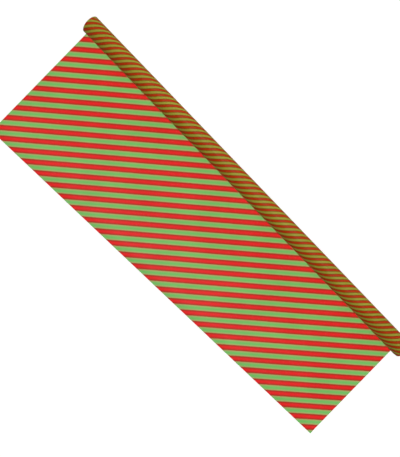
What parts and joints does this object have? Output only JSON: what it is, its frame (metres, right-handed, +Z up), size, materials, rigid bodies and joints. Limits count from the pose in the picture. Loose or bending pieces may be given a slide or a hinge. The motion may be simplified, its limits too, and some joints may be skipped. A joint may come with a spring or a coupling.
{
  "type": "gift wrapping paper roll",
  "caption": "Roll of striped gift wrapping paper on a board core, with a length of the paper unrolled flat in front of it.",
  "frame": {"origin": "on the table face, under the middle of the unrolled sheet, level with the middle of the roll along X", "axes": "+X along the roll's axis, +Y from the sheet's free edge towards the roll, +Z up from the table"},
  "size_m": [0.7696, 0.2659, 0.0331],
  "materials": {
    "paper_inside": "satin",
    "paper_outside": "satin",
    "core_board": "matte",
    "glue": "satin"
  },
  "bodies": {
    "sheet": {"paper_sheet": "paper_inside"},
    "carriage": {"paper_bend": "paper_outside"},
    "roll": {"paper_windings": "paper_outside", "core_outer_ply": "core_board", "core_middle_ply": "core_board", "core_inner_ply": "core_board", "start_glue_line": "glue"}
  },
  "joints": [
    {"name": "roll_travel", "type": "slide", "parent": "sheet", "child": "carriage", "axis": [0, 1, 0], "range_m": [-0.1, 0.3], "deforming": ["paper_sheet"]},
    {"name": "roll_spin", "type": "hinge", "parent": "carriage", "child": "roll", "pos_m": [0, 0.11594, 0.01675], "axis": [1, 0, 0], "range_deg": [-1080, 360]}
  ],
  "couplings": [
    {"joint": "roll_spin", "follows": "roll_travel", "rad_per_m": -61.35}
  ]
}
